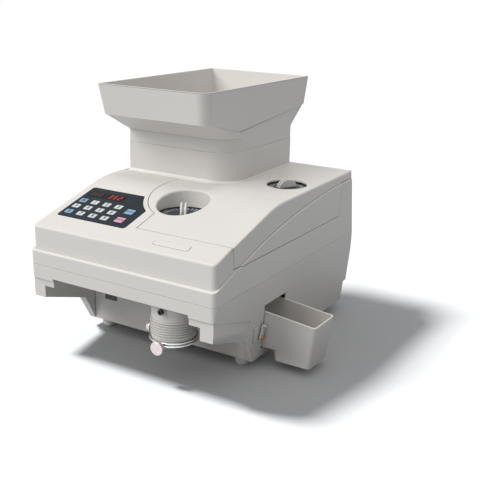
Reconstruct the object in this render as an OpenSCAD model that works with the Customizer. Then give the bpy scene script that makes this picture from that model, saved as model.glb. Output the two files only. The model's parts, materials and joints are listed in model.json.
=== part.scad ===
// Coin counting machine with a top hopper, a hinged cover, a keypad, two setting dials,
// a ribbed bag spout with a spring clamp and a pull-out reject bin.
// Lengths are millimetres. X runs right, Y runs back and Z runs up. Pieces are drawn about the
// middle of the front face, and place() then centres the overall box on the origin.

/* [Casing] */
// Width across the casing at its seam
body_w = 310; // [302:1:322]
// Depth of the casing at its seam
body_d = 413; // [408:1:424]
// Height of the seam between the lower and the upper casing
seam_z = 131; // [129:0.5:132]
// Thickness of the moulded walls
wall = 3; // [2.4:0.1:3.4]
// Radius of the upright corners
corner_r = 7; // [5:0.5:10]
// How far each side of the lower casing leans in towards its bottom edge
side_draft = 9; // [6:0.5:10]
// How far the back of the upper casing leans forward towards the roof
rear_lean = 14; // [11:0.5:16]
// Height of the feet
foot_h = 14; // [12:0.5:16]
// Diameter of a foot
foot_d = 22; // [16:1:26]

/* [Sloping front] */
// Height of the slope where it meets the front
front_z = 186; // [184:0.5:188]
// Angle of the slope
slope = 16.07; // [15.5:0.05:16.6]
// Height of the roof where the slope would meet it
roof_z = 229; // [227:0.5:231]
// Angle at which the roof rises to the back
roof_rise = 0.95; // [0.6:0.05:1.2]
// Radius of the blend from slope to roof
blend_r = 200; // [120:10:240]
// How far the upper front face is set back behind the lower band
ledge_front = 4.5; // [3.5:0.5:6]
// How far the upper sides are set in from the lower band
ledge_side = 2.6; // [1.5:0.1:3.4]
// Height of the ledge at the front
ledge_z = 150.4; // [149:0.1:152]

/* [Chin and legs] */
// Lowest height of the two front lobes
lobe_z = 83; // [80:0.5:86]
// Height where the front opening narrows
step_z = 100; // [97:0.5:104]
// Height of the top of the front opening
open_z = 113.5; // [112:0.5:115]
// Half width of the opening below its step
open_low = 131.5; // [126:0.5:134]
// Half width of the opening above its step
open_high = 114.5; // [108:0.5:120]
// Distance from the front to the wall behind the chin
tray_y = 109; // [105:1:112]
// Depth of the crease pressed into each lobe
crease = 2.6; // [1:0.1:3]

/* [Cover] */
// Clearance around the cover
cover_gap = 0.9; // [0.6:0.1:1.4]
// Distance from the front to the front edge of the cover
cover_front = 45.5; // [43:0.5:48]
// Height of the parting line on the right side
cover_side_z = 169; // [167:0.5:172]
// Radius of the cover's edge around the front dial
cover_arc = 70; // [66:0.5:72]

/* [Hopper] */
// Width of the collar on the cover
neck_w = 187; // [182:0.5:191]
// Depth of the collar on the cover
neck_d = 188; // [182:0.5:192]
// Radius of the collar's wide front right corner
neck_r = 44; // [34:1:52]
// Radius of the other three corners of the collar
neck_edge = 5; // [4:0.5:8]
// Height of the joint between collar and hopper
joint_z = 275; // [270:0.5:280]
// Height at which the hopper starts to flare
flare_z = 295; // [292:0.5:298]
// Height of the lower edge of the rim band
band_z = 325.3; // [322:0.1:330]
// How far the band's edge drops on the right towards the front
band_dip = 19; // [12:0.5:20]
// Overall height
hopper_z = 370; // [362:1:380]
// How far the rim reaches out over the collar at the front
rim_front = 68; // [60:0.5:74]
// How far the rim reaches out over the collar at the back
rim_back = 48.3; // [42:0.1:54]
// How far the rim reaches out over the collar at the right
rim_side = 2.8; // [2:0.1:5]
// Wall of the hopper
hopper_t = 3; // [2.5:0.1:3.5]

/* [Keypad] */
// Distance from the left side of the casing to the panel
panel_left = 17; // [15:0.5:19]
// Width of the panel
panel_w = 121.7; // [120.5:0.1:122.5]
// Depth of the panel, seen from above
panel_d = 80.6; // [79.5:0.1:81.5]
// Width of a small key
key_w = 12; // [10.5:0.1:13]
// Depth of a small key
key_d = 9.5; // [8.5:0.1:10.5]
// Width of a large key
big_w = 14; // [12.5:0.1:15.5]
// Depth of a large key
big_d = 12; // [10.5:0.1:14]
// Width of the release button on the slope
button_w = 55.4; // [50:0.2:60]
// Travel of a key
key_travel = 0.8; // [0.6:0.05:0.8]

/* [Dials] */
// Radius of the well around the front dial
well_r = 37.5; // [35:0.5:38]
// Radius of the opening over the rear dial
recess_r = 30; // [27:0.5:32]
// Radius of the half-round grips
grip_r = 16; // [13:0.5:18]
// Thickness of the grips
grip_t = 8.7; // [7:0.1:10]

/* [Spout] */
// Outer radius of the spout tube
tube_r = 30.5; // [29.8:0.1:31]
// Height of the lower end of the spout
spout_z = 51.5; // [50:0.5:52]
// How far the ribs stand out of the tube
rib_out = 1.2; // [0.6:0.1:1.4]
// Diameter of the clamp wire
wire_d = 3.2; // [2.6:0.1:3.3]
// Rise of one turn of the clamp
wire_pitch = 4.1; // [3.9:0.05:4.3]
// Radius of the clamp's thumb discs
thumb_r = 9.5; // [8:0.5:10]

/* [Reject bin] */
// How far the bin stands out of the casing
bin_reach = 74.6; // [66:0.2:82]
// Distance from the front to the bin
bin_y = 131.4; // [130.5:0.1:132.5]
// Width of the bin, front to back
bin_w = 60.3; // [58:0.1:61]
// Height of the bin's rim where it leaves the casing
bin_z = 82.7; // [80:0.1:84]
// Wall of the bin
bin_t = 2.5; // [2:0.1:3]

/* [Works] */
// Radius of the feed disc
disc_r = 76; // [72:0.5:76]
// Radius of the transport pulleys
pulley_r = 9; // [8:0.1:9]
// Width of the transport belt
belt_w = 16; // [12:0.5:16]

/* [Hidden] */
$fn = 64;
hw = body_w / 2;
tan_s = tan(slope);
tan_r = tan(roof_rise);
knee_y = 5 + (roof_z - front_z) / tan_s;
half_bend = (slope - roof_rise) / 2;
bend_t = blend_r * tan(half_bend);
rear_top = body_d - rear_lean;
roof_back = roof_z + (rear_top - knee_y) * tan_r;
lean = atan(rear_lean / (roof_back - seam_z));
neck_x0 = -hw + 12.4;
neck_cx = neck_x0 + neck_w / 2;
neck_y1 = rear_top - 5;
neck_y0 = neck_y1 - neck_d;
neck_cy = (neck_y0 + neck_y1) / 2;
rim_y1 = neck_y1 + rim_back;
hinge_y = body_d - 6.5;
hinge_z = roof_back - 14;
cover_r = sqrt(pow(hinge_y - cover_front, 2) + pow(hinge_z - slope_z(cover_front), 2));
panel_x = -hw + panel_left;
arc_c = [panel_x + 165, 150];
cover_left = arc_c[0] - 27;
side_back = body_d - 62;
rear_part = roof_back - 12;
panel_y = 38;
button_x = hw - 82.7;
dial_f = [arc_c[0] - 7.5, arc_c[1] - 24];
dial_r = [hw - 47, body_d - 149];
dial_f_z = 201;
dial_r_z = top_at(dial_r[1] - recess_r) - wall - 1.4;
deck_z = 146;
deck_t = 3;
deck_top = deck_z + deck_t;
ceil_z = open_z + 3;
floor_z = foot_h + 3;
tray_half = hw - side_draft - wall - 0.6;
wing_x = hw - side_draft - 10.5;
disc_c = [-hw + 111.95, body_d - 120];
lane_x = disc_c[0] + 95.05;
belt_y = [75, dial_r[1] - 49];
spout_c = [lane_x + 8, 46];
motor_c = disc_c + [113, 7];
bin_x0 = hw - 51;
bin_x1 = hw + bin_reach;
rim_drop = tan(6);
wire_r = tube_r + wire_d / 2 + 0.6;
wire_z = spout_z + 1.8;
turns = [-81, 522];
thumb_t = 6;

// Heights of the top and of the ledge at a distance from the front
function slope_z(y) = front_z + (y - 5) * tan_s;
function top_at(y) =
    let (y0 = knee_y - bend_t * cos(slope), y1 = knee_y + bend_t * cos(roof_rise))
    let (cy = y0 + blend_r * sin(slope), cz = slope_z(y0) - blend_r * cos(slope))
    y <= y0 ? slope_z(y)
    : y >= y1 ? roof_z + (y - knee_y) * tan_r
    : cz + sqrt(blend_r * blend_r - (y - cy) * (y - cy));
function ledge_at(y) =
    y <= 128 ? ledge_z + 0.2945 * y
    : ledge_z + 37.7 + 0.2275 * (y - 128) - 0.000395 * (y - 128) * (y - 128);
function bend_ys(n) =
    let (y0 = knee_y - bend_t * cos(slope), y1 = knee_y + bend_t * cos(roof_rise))
    [for (i = [0:n]) y0 + (y1 - y0) * i / n];

// Small helpers
module place() {
    translate([-bin_reach / 2, -rim_y1 / 2, 0]) children();
}
module along_x(x0, x1) {
    translate([x0, 0, 0]) rotate([90, 0, 90]) linear_extrude(x1 - x0) children();
}
module along_y(y0, y1) {
    translate([0, y1, 0]) rotate([90, 0, 0]) linear_extrude(y1 - y0) children();
}
module box(x0, x1, y0, y1, z0, z1) {
    translate([x0, y0, z0]) cube([x1 - x0, y1 - y0, z1 - z0]);
}
module post(x, y, z0, z1, r) {
    translate([x, y, z0]) cylinder(r = r, h = z1 - z0);
}
module rounded(x0, x1, y0, y1, r) {
    translate([x0 + r, y0]) square([x1 - x0 - 2 * r, y1 - y0]);
    translate([x0, y0 + r]) square([x1 - x0, y1 - y0 - 2 * r]);
    for (x = [x0 + r, x1 - r], y = [y0 + r, y1 - r]) translate([x, y]) circle(r);
}
module rounded_slab(x0, x1, y0, y1, r, z0, z1) {
    translate([0, 0, z0]) linear_extrude(z1 - z0) rounded(x0, x1, y0, y1, r);
}
// Outline with one wide corner of radius w at the front right
module collar_slab(x0, x1, y0, y1, r, w, z0, z1) {
    translate([0, 0, z0]) linear_extrude(z1 - z0) {
        translate([x0 + r, y0]) square([x1 - w - x0 - r, y1 - y0]);
        translate([x0, y0 + r]) square([x1 - w - x0, y1 - y0 - 2 * r]);
        translate([x1 - w, y0 + w]) square([w, y1 - y0 - w - r]);
        translate([x1 - w, y0 + w]) square([w - r, y1 - y0 - w]);
        translate([x0 + r, y0 + r]) circle(r);
        translate([x0 + r, y1 - r]) circle(r);
        translate([x1 - r, y1 - r]) circle(r);
        translate([x1 - w, y0 + w]) circle(w);
    }
}
module on_slope(x, y) {
    translate([x, y, slope_z(y)]) rotate([slope, 0, 0]) children();
}

// Upper casing as one closed form, before it is parted into housing and cover
module rear_prism(t) {
    translate([0, body_d - t, seam_z]) rotate([lean, 0, 0]) translate([0, 0, -200])
        linear_extrude(500) rounded(-hw + t, hw - t, -700, 0, max(corner_r - t, 2));
}
module top_profile(t, z0) {
    f = ledge_front + t;
    polygon(concat([[f, z0], [f, top_at(f) - t]], [for (y = bend_ys(10)) [y, top_at(y) - t]],
        [[body_d + 20, top_at(body_d + 20) - t], [body_d + 20, z0]]));
}
module band_profile() {
    ys = concat([0, 128], [for (y = [146:18:body_d - 16]) y], [body_d + 20]);
    polygon(concat([[0, seam_z]], [for (y = ys) [y, ledge_at(y)]], [[body_d + 20, seam_z]]));
}
module upper_form(t, z0) {
    intersection() {
        along_x(-hw, hw) top_profile(t, z0);
        rounded_slab(-hw + ledge_side + t, hw - ledge_side - t, ledge_front + t, body_d + 40,
            max(corner_r - t, 2), z0 - 1, 400);
        rear_prism(t + 0.5);
    }
}
module upper_shell() {
    difference() {
        union() {
            upper_form(0, seam_z);
            intersection() {
                along_x(-hw, hw) band_profile();
                rounded_slab(-hw, hw, 0, body_d + 40, corner_r, seam_z, 400);
                rear_prism(0);
            }
        }
        upper_form(wall, seam_z - 1);
    }
}

// Space that belongs to the cover, grown by g
module cover_space(g) {
    intersection() {
        translate([0, 0, 100]) linear_extrude(200) {
            translate([cover_left - g, 0]) square([hw + 20, body_d + 30]);
            translate(arc_c) circle(cover_arc + g);
            translate([arc_c[0] - cover_arc - g, arc_c[1]]) square([body_w, body_d]);
            translate([neck_x0 - 2.6 - g, neck_y0 - 4 - g]) square([body_w, body_d]);
        }
        translate([-hw - 20, hinge_y, hinge_z]) rotate([0, 90, 0])
            cylinder(r = cover_r + g, h = body_w + 40, $fn = 128);
        along_x(-hw - 10, hw + 10) polygon([[-20, cover_side_z - g], [side_back + g, cover_side_z - g],
            [side_back + 9 + g, rear_part - g], [body_d + 40, rear_part - g], [body_d + 40, 320], [-20, 320]]);
    }
}

module hinge_barrels(x0, x1, r) {
    for (x = [-95, 95]) translate([x + x0, hinge_y, hinge_z]) rotate([0, 90, 0]) cylinder(r = r, h = x1 - x0);
}

module lower_housing() color([0.86, 0.85, 0.82]) place() {
    inset = side_draft / (seam_z - foot_h);
    difference() {
        intersection() {
            along_x(-hw, hw) polygon([[0, seam_z], [0, lobe_z], [88, lobe_z - 29], [tray_y, foot_h],
                [body_d - 16, foot_h], [body_d - 14, 45], [body_d - 4, 45], [body_d, seam_z]]);
            along_y(-5, body_d + 5) polygon([[-hw, seam_z], [-hw + side_draft, foot_h],
                [hw - side_draft, foot_h], [hw, seam_z]]);
            rounded_slab(-hw, hw, 0, body_d, corner_r, 0, seam_z + 1);
        }
        // inside behind the chin
        intersection() {
            along_y(tray_y + 3, body_d - 16 - wall) polygon([[-hw + wall, seam_z + 1],
                [-hw + side_draft + wall, foot_h - 1], [hw - side_draft - wall, foot_h - 1], [hw - wall, seam_z + 1]]);
            box(-hw, hw, 0, body_d, foot_h - 2, seam_z + 2);
        }
        box(-hw + wall + 6, hw - wall - 6, tray_y + 40, body_d - 6 - wall, 50, seam_z + 1);
        // room above the chin, and the chin itself
        box(-hw + wall + 2, hw - wall - 2, wall + 1, tray_y + 4, ceil_z + wall, seam_z + 1);
        box(-wing_x, wing_x, 3.5, tray_y + 4, -1, ceil_z);
        box(-open_low, open_low, -1, 5, -1, step_z);
        box(-open_high, open_high, -1, 5, -1, open_z);
        post(spout_c[0], spout_c[1], ceil_z - 1, ceil_z + wall + 1, tube_r + 0.3);
        // creases of the lobes
        for (s = [-1, 1]) {
            translate([s * (hw - 0.2), 0, lobe_z + 27]) rotate([-16.7, 0, s * 1.3])
                translate([s > 0 ? -crease : -20 + crease, -20, -90]) cube([20, 118, 90]);
            box(s > 0 ? open_high - 5 : -hw - 1, s > 0 ? hw + 1 : -open_high + 5, -1, crease - 0.6, 0, lobe_z + 27);
        }
        // doorway of the bin and the shallow line beside it
        box(bin_x0 - 4, hw + 5, bin_y - 0.7, bin_y + bin_w + 0.7, 26, bin_z + 9.3);
        box(hw - 3.6, hw + 5, bin_y - 18, bin_y - 0.7, bin_z + 7.9, bin_z + 9.3);
        box(hw - 3.6, hw + 5, bin_y + bin_w + 0.7, bin_y + bin_w + 20, bin_z + 7.9, bin_z + 9.3);
        // back: inlet, switch and vents
        box(-100, -72, body_d - 30, body_d + 5, 60, 80);
        box(-60, -42, body_d - 30, body_d + 5, 57, 83);
        for (i = [0:7]) box(20 + 12 * i, 26 + 12 * i, body_d - 30, body_d + 5, 65, 110);
    }
}

module base_tray() color([0.83, 0.82, 0.8]) place() {
    difference() {
        union() {
            box(-tray_half, tray_half, tray_y + 3.3, body_d - 16 - wall - 0.3, foot_h, floor_z);
            box(-wing_x + 0.3, wing_x - 0.3, tray_y, tray_y + 3, foot_h, ceil_z - 0.3);
            box(-wing_x + 0.3, wing_x - 0.3, tray_y, tray_y + 5, foot_h, floor_z);
            for (y = [bin_y + 3, bin_y + bin_w - 9])
                box(bin_x0, tray_half - 2, y, y + 6, floor_z - 1, 27.8);
        }
        box(-115, -92, tray_y - 1, tray_y + 1.6, 50, 59);
    }
}

module feet() color([0.8, 0.79, 0.77]) place() {
    for (x = [-hw + 34, hw - 34], y = [tray_y + 17, body_d - 38]) {
        post(x, y, 0, 3, foot_d / 2 - 1.5);
        post(x, y, 2.5, foot_h, foot_d / 2);
    }
}

// Outline of the keypad panel, grown by g
module panel_outline(g) {
    difference() {
        rounded(panel_x - g, panel_x + panel_w + g, panel_y - g, panel_y + panel_d + g, max(4 + g, 1));
        translate(arc_c) circle(77.5 - g);
    }
}
module slope_slab(z0, z1) {
    on_slope(-hw - 5, 0) translate([0, -20, z0]) cube([body_w + 10, 240, z1 - z0]);
}
cols = [0, 21.5, 43.3, 64.7];
rows = [81.5, 66, 50.5];
KEYS = concat([for (r = [0:2], c = [0:3])
        [["key_mode", "key_1", "key_2", "key_3", "key_add", "key_4", "key_5", "key_6", "key_batch",
            "key_7", "key_8", "key_9"][r * 4 + c], panel_x + 12.5 + cols[c], rows[r], key_w, key_d,
            c == 0 && r != 1 ? [0.45, 0.7, 0.88] : [0.88, 0.9, 0.9]]],
    [["key_start", panel_x + 102, 75.5, big_w, big_d, [0.45, 0.7, 0.88]],
     ["key_clear", panel_x + 102, 53.5, big_w, big_d, [0.95, 0.6, 0.78]]]);
windows = [[panel_x + 6, panel_x + 34.5], [panel_x + 36, panel_x + 70.5]];

module upper_housing() color([0.88, 0.87, 0.84]) place() {
    difference() {
        union() {
            difference() {
                upper_shell();
                cover_space(cover_gap);
            }
            hinge_barrels(-16, -6, 4.5);
            hinge_barrels(6, 16, 4.5);
            for (x = [-95, 95], d = [-16, 6])
                box(x + d, x + d + 10, body_d - 15.5, hinge_y, hinge_z - 8, hinge_z - 1);
        }
        hinge_barrels(-20, 20, 2);
        for (x = [-95, 95]) box(x - 6, x + 6, body_d - 20, hinge_y + 6, hinge_z - 6, hinge_z + 10);
        // seat and window of the keypad
        intersection() {
            translate([0, 0, 100]) linear_extrude(200) panel_outline(0.25);
            slope_slab(-1.2, 20);
        }
        translate([0, 0, 100]) linear_extrude(200) intersection() {
            panel_outline(-5);
            translate([panel_x + 3, panel_y + 3]) square([panel_w - 6, panel_d - 6]);
        }
        on_slope(button_x, 25) rounded_slab(-button_w / 2 - 0.5, button_w / 2 + 0.5, -6.5, 6.5, 4.5, -10, 10);
    }
}

module keypad_panel() color([0.22, 0.26, 0.3]) place() {
    difference() {
        intersection() {
            translate([0, 0, 100]) linear_extrude(200) panel_outline(0);
            slope_slab(-1.15, 0.35);
        }
        for (k = KEYS) on_slope(k[1], k[2])
            rounded_slab(-k[3] / 2 - 0.25, k[3] / 2 + 0.25, -k[4] / 2 - 0.25, k[4] / 2 + 0.25, 1.25, -4, 4);
        for (w = windows) on_slope(w[0], 95) translate([0, 0, -0.6]) cube([w[1] - w[0], 14.6, 3]);
    }
}

module display_windows() color([0.06, 0.05, 0.06]) place() {
    for (w = windows) on_slope(w[0], 95) translate([0.15, 0.15, -0.5]) cube([w[1] - w[0] - 0.3, 14.3, 1]);
}

module control_board() color([0.1, 0.32, 0.18]) place() {
    intersection() {
        on_slope(panel_x - 4, panel_y - 6) translate([0, 0, -4.9]) cube([panel_w + 1, 76, 1.6]);
        box(-hw + 8, cover_left - 3, 20, 140, 100, 300);
    }
}

module keycap(k) color(k[5]) place() {
    on_slope(k[1], k[2]) {
        rounded_slab(-k[3] / 2, k[3] / 2, -k[4] / 2, k[4] / 2, 1, -2.1, 0.95);
        rounded_slab(-k[3] / 2 - 1, k[3] / 2 + 1, -k[4] / 2 - 1, k[4] / 2 + 1, 1.5, -2.4, -1.3);
    }
}

module release_button() color([0.89, 0.88, 0.85]) place() {
    on_slope(button_x, 25) {
        rounded_slab(-button_w / 2, button_w / 2, -6, 6, 4, -5, 0.3);
        rounded_slab(-button_w / 2 - 2.5, button_w / 2 + 2.5, -8.5, 8.5, 3, -6, -wall - 0.05);
    }
}

module deck_plate() color([0.7, 0.71, 0.72]) place() {
    difference() {
        union() {
            box(-hw + 10, hw - 10, 14, body_d - 24, deck_z, deck_top);
            for (p = [[-hw + 26, tray_y + 24], [-hw + 26, body_d - 44], [hw - 27, tray_y + 13], [hw - 27, body_d - 44]])
                post(p[0], p[1], floor_z, deck_z, 5);
        }
        post(spout_c[0], spout_c[1], deck_z - 1, deck_top + 1, tube_r - 3);
        post(disc_c[0], disc_c[1], deck_z - 1, deck_top + 1, 14.2);
        box(lane_x - 12, lane_x + 8, 150, 175, deck_z - 1, deck_top + 1);
    }
}

module disc_bearing() color([0.6, 0.6, 0.62]) place() {
    difference() {
        union() {
            post(disc_c[0], disc_c[1], deck_z - 16, deck_top + 0.5, 14);
            post(disc_c[0], disc_c[1], deck_z - 4, deck_z, 20);
        }
        post(disc_c[0], disc_c[1], deck_z - 20, deck_top + 2, 8.05);
    }
}

// Flanged pulley for the flat drive belt
module flanged_pulley(c, r) {
    post(c[0], c[1], 98, 112, r);
    post(c[0], c[1], 98, 102.5, r + 2.8);
    post(c[0], c[1], 107.5, 112, r + 2.8);
}
module disc_shaft() color([0.75, 0.75, 0.77]) place() {
    post(disc_c[0], disc_c[1], 92, deck_top + 2, 8);
    flanged_pulley(disc_c, 33);
}

module feed_disc() color([0.62, 0.63, 0.65]) place() {
    difference() {
        union() {
            post(disc_c[0], disc_c[1], deck_top + 2, deck_top + 6, disc_r);
            translate([disc_c[0], disc_c[1], deck_top + 6]) cylinder(r1 = 16, r2 = 7, h = 14);
            for (a = [20, 140, 260]) translate([disc_c[0], disc_c[1], deck_top + 5]) rotate([0, 0, a])
                box(14, disc_r - 18, -3, 3, 0, 3.2);
        }
        for (a = [80, 200, 320]) translate([disc_c[0], disc_c[1], 0]) rotate([0, 0, a])
            post(disc_r - 28, 0, deck_top, deck_top + 9, 11);
    }
}

module drive_motor() color([0.32, 0.33, 0.35]) place() {
    difference() {
        union() {
            post(motor_c[0], motor_c[1], floor_z, 88, 28);
            post(motor_c[0], motor_c[1], 88, 92, 12);
            box(motor_c[0] - 34, motor_c[0] + 34, motor_c[1] - 10, motor_c[1] + 10, floor_z, floor_z + 4);
        }
        post(motor_c[0], motor_c[1], 70, 93, 4.05);
    }
}

module motor_pulley() color([0.78, 0.78, 0.8]) place() {
    post(motor_c[0], motor_c[1], 71, 112, 4);
    flanged_pulley(motor_c, 11);
}

// Flat belt around both pulleys, g outside their cores
module belt_run(g) {
    l = norm(motor_c - disc_c);
    b = acos(22 / l);
    circle(33 + g);
    translate([l, 0]) circle(11 + g);
    polygon([(33 + g) * [cos(b), -sin(b)], [l, 0] + (11 + g) * [cos(b), -sin(b)],
        [l, 0] + (11 + g) * [cos(b), sin(b)], (33 + g) * [cos(b), sin(b)]]);
}
module drive_belt() color([0.15, 0.15, 0.16]) place() {
    d = motor_c - disc_c;
    translate([disc_c[0], disc_c[1], 103]) rotate([0, 0, atan2(d[1], d[0])]) linear_extrude(4) difference() {
        belt_run(2);
        belt_run(0.3);
    }
}

module guide_rail() color([0.75, 0.76, 0.78]) place() {
    box(lane_x + 9, lane_x + 11.6, belt_y[0] + 3, belt_y[1] + 21, deck_top, deck_top + 5.6);
}

module transport_bridge() color([0.72, 0.73, 0.74]) place() {
    union() {
        box(lane_x + 12, lane_x + 14.5, belt_y[0] - 13, belt_y[1] + 13, deck_top, deck_top + 27);
        box(lane_x + 12, lane_x + 28, belt_y[0] + 25, belt_y[1] - 25, deck_top, deck_top + 2);
        for (y = belt_y) translate([lane_x - 9.4, y, 166]) rotate([0, 90, 0]) cylinder(r = 3, h = 22);
    }
}

module pulley(y) {
    translate([lane_x - 8, y, 166]) rotate([0, 90, 0]) difference() {
        union() {
            cylinder(r = pulley_r, h = belt_w);
            cylinder(r = pulley_r - 3, h = belt_w + 1.5);
        }
        translate([0, 0, -1]) cylinder(r = 3.05, h = belt_w + 4);
    }
}
module belt_pulley_front() color([0.8, 0.8, 0.82]) place() pulley(belt_y[0]);
module belt_pulley_rear() color([0.8, 0.8, 0.82]) place() pulley(belt_y[1]);

module belt_loop(r) {
    for (y = belt_y) translate([y, 166]) circle(r);
    translate([belt_y[0], 166 - r]) square([belt_y[1] - belt_y[0], 2 * r]);
}
module transport_belt() color([0.16, 0.17, 0.18]) place() {
    along_x(lane_x - 7.5, lane_x - 8.5 + belt_w) difference() {
        belt_loop(pulley_r + 1.8);
        belt_loop(pulley_r + 0.3);
    }
}

module transport_motor() color([0.32, 0.33, 0.35]) place() {
    translate([lane_x + 14.5, belt_y[0], 166]) rotate([0, 90, 0]) cylinder(r = 14, h = 42);
    translate([lane_x + 56, belt_y[0], 166]) rotate([0, 90, 0]) cylinder(r = 5, h = 4);
}

module count_sensor() color([0.1, 0.1, 0.11]) place() {
    box(lane_x - 42, lane_x - 28, belt_y[0] - 3, belt_y[0] + 15, deck_top, deck_top + 9);
    box(lane_x - 32, lane_x - 21, belt_y[0] + 3, belt_y[0] + 9, deck_top + 4, deck_top + 8);
}

module dial_brackets() color([0.7, 0.71, 0.73]) place() {
    difference() {
        union() {
            box(dial_f[0] - 35.5, dial_f[0] - 26.5, dial_f[1] - 10, dial_f[1] + 10, deck_top, dial_f_z - 6);
            box(dial_f[0] - 35.5, dial_f[0] + 12.5, dial_f[1] - 10, dial_f[1] + 10, dial_f_z - 12, dial_f_z - 6);
            box(dial_f[0] - 45.5, dial_f[0] - 26.5, dial_f[1] - 10, dial_f[1] + 10, deck_top, deck_top + 3);
        }
        post(dial_f[0], dial_f[1], 180, 200, 5.05);
    }
    difference() {
        union() {
            box(dial_r[0] + 20, dial_r[0] + 27, dial_r[1] - 10, dial_r[1] + 10, deck_top, dial_r_z - 6);
            box(dial_r[0] - 12, dial_r[0] + 27, dial_r[1] - 10, dial_r[1] + 10, dial_r_z - 13, dial_r_z - 6);
        }
        post(dial_r[0], dial_r[1], dial_r_z - 20, dial_r_z, 5.05);
    }
}

// Half-round grip with a groove along its edge, standing on a dial at the origin
module grip(turn, lift) {
    rotate([0, 0, turn]) difference() {
        union() {
            translate([-grip_t / 2, 0, lift]) rotate([0, 90, 0]) cylinder(r = grip_r, h = grip_t);
            if (lift > 0) box(-grip_t / 2, grip_t / 2, -grip_r, grip_r, 0, lift);
        }
        box(-grip_t, grip_t, -grip_r - 5, grip_r + 5, -grip_r * 2, 0);
        difference() {
            translate([-1.5, 0, lift]) rotate([0, 90, 0]) cylinder(r = grip_r + 5, h = 3);
            translate([-2, 0, lift]) rotate([0, 90, 0]) cylinder(r = grip_r - 6, h = 4);
            box(-3, 3, -grip_r - 9, grip_r + 9, -40, lift + 0.1);
        }
    }
}

module diameter_dial() color([0.2, 0.22, 0.25]) place() {
    translate([dial_f[0], dial_f[1], 0]) {
        post(0, 0, dial_f_z - 3.5, dial_f_z, well_r + 1);
        post(0, 0, dial_f_z - 5.7, dial_f_z - 3, 12);
        post(0, 0, deck_top + 8, dial_f_z - 4, 5);
        post(0, 0, deck_top + 8, deck_top + 17, 5.9);
    }
}
module diameter_grip() color([0.85, 0.85, 0.83]) place() translate([dial_f[0], dial_f[1], dial_f_z]) grip(31, 1);

module coin_guide() color([0.78, 0.79, 0.8]) place() {
    box(lane_x - 26.2, lane_x - 21, belt_y[0] + 20, belt_y[1] - 15, deck_top + 0.3, deck_top + 7);
    box(dial_f[0] - 14.5, lane_x - 21, dial_f[1] + 6.2, dial_f[1] + 13, deck_top + 0.3, deck_top + 17);
}

module thickness_dial() color([0.2, 0.22, 0.25]) place() {
    translate([dial_r[0], dial_r[1], 0]) {
        post(0, 0, dial_r_z - 3.5, dial_r_z, recess_r + 2.5);
        post(0, 0, dial_r_z - 5.7, dial_r_z - 3, 12);
        post(0, 0, deck_top + 3, dial_r_z - 4, 5);
    }
}
module thickness_grip() color([0.85, 0.85, 0.83]) place() translate([dial_r[0], dial_r[1], dial_r_z]) grip(-32, -3.5);

module thickness_shoe() color([0.75, 0.76, 0.78]) place() {
    difference() {
        union() {
            post(dial_r[0], dial_r[1], 160, 170, 10);
            box(lane_x - 8, dial_r[0], dial_r[1] - 6, dial_r[1] + 6, 161, 166);
            box(lane_x - 12, lane_x + 6, dial_r[1] - 22, dial_r[1] + 6, 155, 166);
        }
        post(dial_r[0], dial_r[1], 150, 180, 5.05);
    }
}

module reject_chute() color([0.72, 0.73, 0.75]) place() {
    difference() {
        along_y(147, 178) polygon([[lane_x - 14, deck_z - 0.2], [lane_x - 14, 132], [hw - 37, 98], [hw - 37, 112],
            [lane_x + 10, deck_z - 0.2]]);
        along_y(149, 176) polygon([[lane_x - 12, deck_z + 1], [lane_x - 12, 133.6], [hw - 35, 99.6], [hw - 35, 109.5],
            [lane_x + 9, deck_z - 2], [lane_x + 9, deck_z + 1]]);
    }
}

module coin_spout() color([0.85, 0.84, 0.82]) place() {
    difference() {
        union() {
            post(spout_c[0], spout_c[1], spout_z, deck_z - 0.3, tube_r);
            post(spout_c[0], spout_c[1], ceil_z - 4, ceil_z, tube_r + 7);
            for (i = [0:6]) post(spout_c[0], spout_c[1], spout_z + 11.5 + 3.5 * i, spout_z + 13.2 + 3.5 * i, tube_r + rib_out);
            translate([spout_c[0] + 4, spout_c[1] - tube_r + 1, 102.5]) rotate([90, 0, 0]) cylinder(r = 5, h = 3.4);
        }
        post(spout_c[0], spout_c[1], spout_z - 1, deck_z + 1, tube_r - 2.5);
        translate([spout_c[0] + 4, spout_c[1] - tube_r + 8, 102.5]) rotate([90, 0, 0]) cylinder(r = 2, h = 20);
    }
}

module spout_screw() color([0.12, 0.12, 0.13]) place() {
    translate([spout_c[0] + 4, spout_c[1] - tube_r - 2.4, 102.5]) rotate([90, 0, 0]) difference() {
        union() {
            cylinder(r = 4, h = 4);
            translate([0, 0, -3]) cylinder(r = 1.9, h = 4);
        }
        translate([0, 0, 2]) cylinder(r = 2, h = 5, $fn = 6);
    }
}

// Centre line of the clamp: two radial ends joined by one winding
function turn_at(a) = let (z = wire_z + wire_pitch * (a - turns[0]) / 360)
    [spout_c[0] + wire_r * cos(a), spout_c[1] + wire_r * sin(a), z];
function end_at(a, r, z) = [spout_c[0] + r * cos(a), spout_c[1] + r * sin(a), z];
z_end = wire_z + wire_pitch * (turns[1] - turns[0]) / 360;
end_f = [[7, -1], [5, -1], [3.4, -1], [1.6, -0.6], [0.5, -0.2]];
end_r = [[0.5, 0.2], [2.2, 0.1], [4.4, -0.6], [5.5, -1.8], [5.9, -3.1], [6.9, -4.1], [8.6, -4.5], [10.4, -4.5], [12, -4.5]];
path = concat(
    [for (i = [0:4]) end_at(turns[0] - [7, 7, 7, 6, 3][i], wire_r + end_f[i][0], wire_z + end_f[i][1])],
    [for (i = [0:66]) turn_at(turns[0] + (turns[1] - turns[0]) * i / 66)],
    [for (i = [0:8]) end_at(turns[1] + [3, 6, 7, 7, 7, 7, 7, 7, 7][i], wire_r + end_r[i][0], z_end + end_r[i][1])]);
function unit(v) = v / norm(v);
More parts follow.
